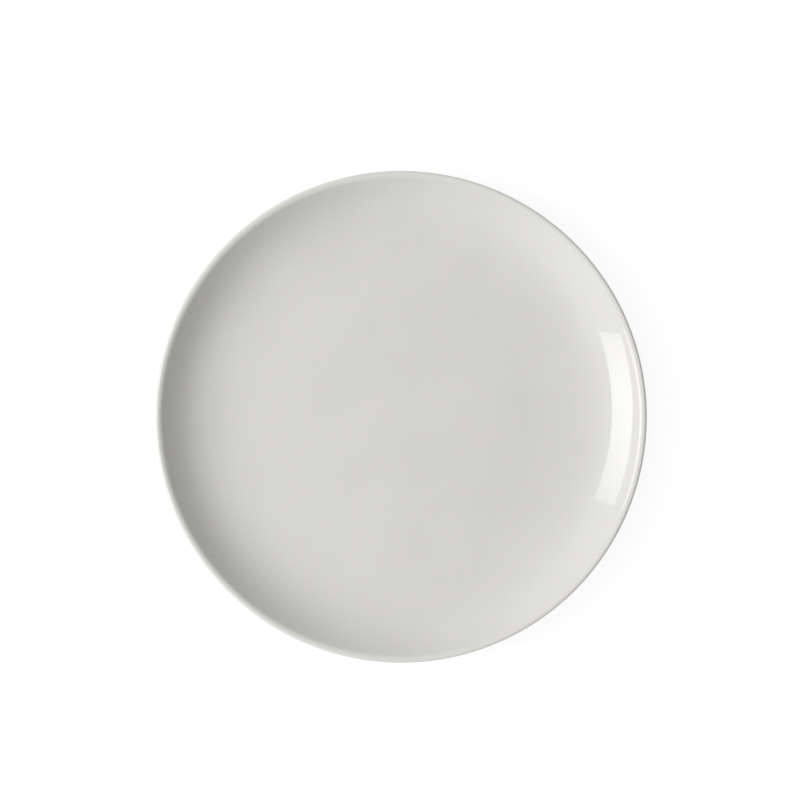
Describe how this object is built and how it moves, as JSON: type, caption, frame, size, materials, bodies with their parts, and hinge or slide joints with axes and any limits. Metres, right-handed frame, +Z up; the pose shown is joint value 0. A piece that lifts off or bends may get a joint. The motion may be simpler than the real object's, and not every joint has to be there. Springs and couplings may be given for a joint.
{
  "type": "flat plate",
  "caption": "Round coupe dinner plate in glossy ivory glazed porcelain, with a rounded lip and a bare foot ring.",
  "frame": {"origin": "centre of the foot ring's standing circle, on the table", "axes": "+Z up along the plate's axis; +X and +Y are the picture's right and up"},
  "size_m": [0.27, 0.27, 0.0226],
  "materials": {
    "glaze": "gloss",
    "bare_clay": "matte"
  },
  "bodies": {
    "root": {"plate_body": "bare_clay", "outer_glaze": "glaze", "base_glaze": "glaze"}
  },
  "joints": []
}
